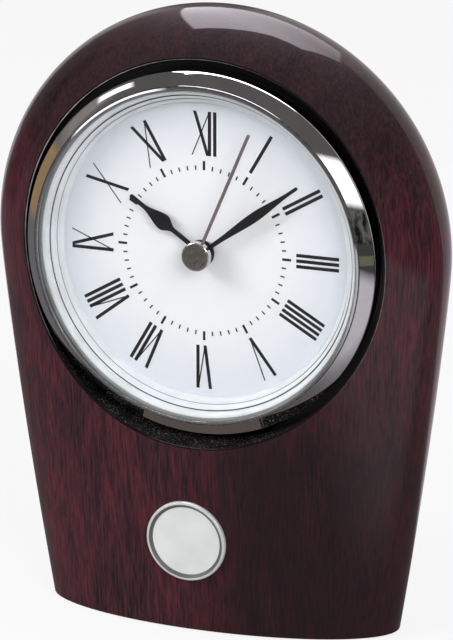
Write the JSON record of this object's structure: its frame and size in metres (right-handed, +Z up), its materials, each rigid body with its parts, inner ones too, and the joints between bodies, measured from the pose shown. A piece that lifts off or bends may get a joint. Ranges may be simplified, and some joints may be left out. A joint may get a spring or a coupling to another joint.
{
  "type": "desk clock",
  "caption": "Arched desk clock: a glossy dark hardwood case with a domed front that tapers to its base, holding a chrome-rimmed quartz insert with Roman numerals.",
  "frame": {"origin": "centre of the bounding box, on the surface that the clock stands on", "axes": "+Z up, the dial faces -Y, +X to the right as seen from the front"},
  "size_m": [0.1166, 0.0334, 0.1539],
  "materials": {
    "mahogany": "piano gloss lacquer over dark red-brown vertical grain; the recess is lacquered black",
    "felt": "black felt",
    "chrome": "polished",
    "satin_silver": "fine satin, bare",
    "clear_lens": "clear, polished",
    "black_rubber": "matte",
    "white_plastic": "white, gloss",
    "dial_white": "white, satin, printed in black",
    "black_enamel": "black, satin",
    "grey_metal": "grey-brown satin with a polished edge",
    "black_plastic": "fine moulded texture",
    "movement_plastic": "ivory moulding",
    "gear_plastic": "white moulding",
    "brass": "turned",
    "steel": "plated",
    "iron": "stamped",
    "magnet": "sintered",
    "copper_winding": "enamelled wire",
    "board_green": "solder mask"
  },
  "bodies": {
    "clock": {"wood_case": "mahogany", "base_felt": "felt", "medallion_cup": "chrome", "medallion_plate": "satin_silver", "bezel": "chrome", "lens": "clear_lens", "lens_gasket": "black_rubber", "chapter_ring": "white_plastic", "dial": "dial_white", "insert_cup": "black_plastic", "grip_ring": "black_rubber", "front_plate": "movement_plastic", "rear_plate": "movement_plastic", "plate_screws": "steel", "pillar_screws": "steel", "stator": "iron", "coil_core": "iron", "coil": "copper_winding", "circuit_board": "board_green", "drive_chip": "black_plastic", "quartz_crystal": "steel", "battery_cell": "steel", "contact_negative": "brass", "contact_positive": "brass"},
    "seconds": {"second_hand": "grey_metal", "seconds_wheel": "gear_plastic"},
    "minutes": {"minute_hand": "black_enamel", "minute_tube": "brass"},
    "hours": {"hour_hand": "black_enamel", "hour_wheel": "gear_plastic"},
    "motion_work": {"minute_wheel": "gear_plastic", "setting_knob": "black_plastic"},
    "centre": {"centre_wheel": "brass"},
    "third": {"third_wheel": "gear_plastic"},
    "intermediate": {"intermediate_wheel": "gear_plastic"},
    "motor": {"rotor": "magnet"},
    "cell_door": {"battery_door": "black_plastic"}
  },
  "joints": [
    {"name": "second_hand_turn", "type": "hinge", "parent": "clock", "child": "seconds", "pos_m": [0, -0.0079, 0.0956], "axis": [0, 1, 0], "continuous": true},
    {"name": "minute_hand_turn", "type": "hinge", "parent": "clock", "child": "minutes", "pos_m": [0, -0.0079, 0.0956], "axis": [0, 1, 0], "continuous": true},
    {"name": "hour_hand_turn", "type": "hinge", "parent": "clock", "child": "hours", "pos_m": [0, -0.0079, 0.0956], "axis": [0, 1, 0], "continuous": true},
    {"name": "setting_knob_turn", "type": "hinge", "parent": "clock", "child": "motion_work", "pos_m": [0, -0.0079, 0.08504], "axis": [0, 1, 0], "continuous": true},
    {"name": "centre_wheel_turn", "type": "hinge", "parent": "clock", "child": "centre", "pos_m": [0, -0.0079, 0.0956], "axis": [0, 1, 0], "continuous": true},
    {"name": "third_wheel_turn", "type": "hinge", "parent": "clock", "child": "third", "pos_m": [0.00883, -0.0079, 0.1007], "axis": [0, 1, 0], "continuous": true},
    {"name": "intermediate_wheel_turn", "type": "hinge", "parent": "clock", "child": "intermediate", "pos_m": [-0.00875, -0.0079, 0.10065], "axis": [0, 1, 0], "continuous": true},
    {"name": "rotor_turn", "type": "hinge", "parent": "clock", "child": "motor", "pos_m": [-0.01498, -0.0079, 0.10425], "axis": [0, 1, 0], "continuous": true},
    {"name": "battery_door_turn", "type": "hinge", "parent": "clock", "child": "cell_door", "pos_m": [0.0199, -0.0079, 0.0863], "axis": [0, -1, 0], "range_deg": [0, 45]}
  ],
  "couplings": [
    {"joint": "hour_hand_turn", "follows": "minute_hand_turn", "ratio": 0.083333},
    {"joint": "setting_knob_turn", "follows": "minute_hand_turn", "ratio": -0.33333},
    {"joint": "intermediate_wheel_turn", "follows": "second_hand_turn", "ratio": -6},
    {"joint": "rotor_turn", "follows": "second_hand_turn", "ratio": 30},
    {"joint": "third_wheel_turn", "follows": "second_hand_turn", "ratio": -0.13333},
    {"joint": "centre_wheel_turn", "follows": "second_hand_turn", "ratio": 0.016667}
  ]
}
